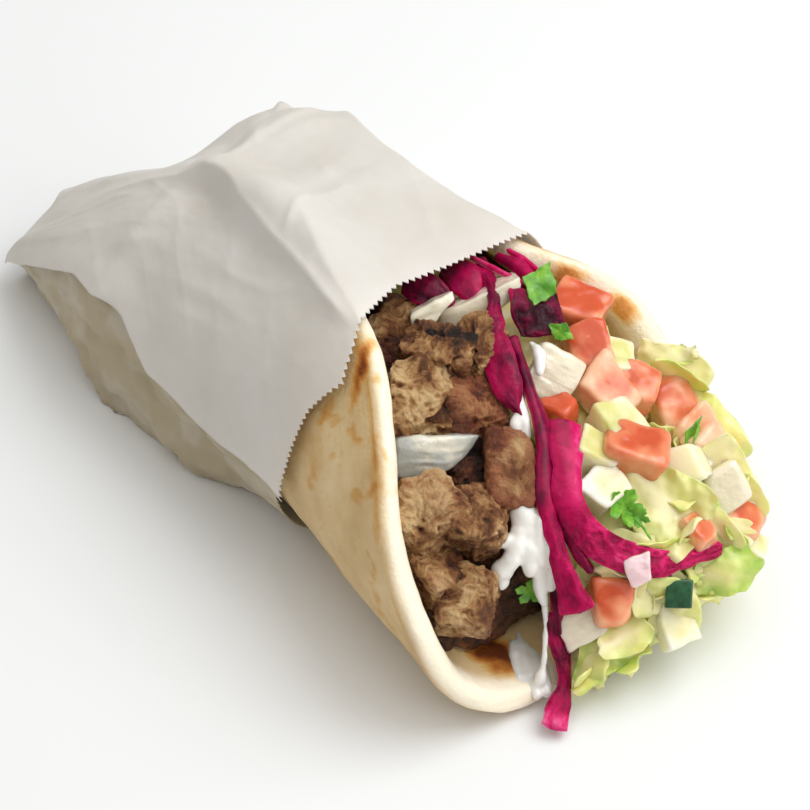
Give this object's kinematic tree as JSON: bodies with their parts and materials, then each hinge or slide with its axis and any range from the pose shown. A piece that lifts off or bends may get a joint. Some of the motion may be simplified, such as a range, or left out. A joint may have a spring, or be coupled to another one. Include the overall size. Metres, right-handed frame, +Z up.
{
  "type": "gyro sandwich",
  "caption": "Rolled flatbread sandwich in a paper wrap, open at one end, filled with meat chunks, sauce and chopped tomato, cucumber, onion, red cabbage and lettuce.",
  "frame": {"origin": "middle of the underside of the box round the whole sandwich", "axes": "+X along the roll towards the open end, +Y towards the far flap of the bread, +Z up; lying on its side as served"},
  "size_m": [0.2242, 0.113, 0.0814],
  "materials": {
    "flatbread": "matte",
    "meat": "matte",
    "red_cabbage": "glossy",
    "onion": "glossy",
    "tomato": "glossy",
    "cucumber": "glossy",
    "lettuce": "satin",
    "parsley": "satin",
    "sauce": "glossy",
    "paper": "matte"
  },
  "bodies": {
    "root": {"cabbage_01": "red_cabbage", "cabbage_02": "red_cabbage", "cabbage_03": "red_cabbage", "cabbage_04": "red_cabbage", "cabbage_05": "red_cabbage", "cabbage_06": "red_cabbage", "cabbage_07": "red_cabbage", "cabbage_08": "red_cabbage", "cucumber_01": "cucumber", "cucumber_02": "cucumber", "cucumber_03": "cucumber", "cucumber_04": "cucumber", "cucumber_05": "cucumber", "cucumber_06": "cucumber", "cucumber_07": "cucumber", "cucumber_08": "cucumber", "flatbread": "flatbread", "meat_01": "meat", "meat_02": "meat", "meat_03": "meat", "meat_04": "meat", "meat_05": "meat", "meat_06": "meat", "meat_07": "meat", "meat_08": "meat", "meat_09": "meat", "meat_10": "meat", "meat_11": "meat", "meat_12": "meat", "meat_core": "meat", "onion_01": "onion", "onion_02": "onion", "onion_03": "onion", "onion_04": "onion", "onion_05": "onion", "onion_06": "onion", "onion_07": "onion", "paper_wrap": "paper", "parsley_01": "parsley", "parsley_02": "parsley", "parsley_03": "parsley", "parsley_04": "parsley", "salad": "lettuce", "sauce_01": "sauce", "sauce_02": "sauce", "tomato_01": "tomato", "tomato_02": "tomato", "tomato_03": "tomato", "tomato_04": "tomato", "tomato_05": "tomato", "tomato_06": "tomato", "tomato_07": "tomato", "tomato_08": "tomato", "tomato_09": "tomato", "tomato_10": "tomato", "tomato_11": "tomato"}
  },
  "joints": []
}
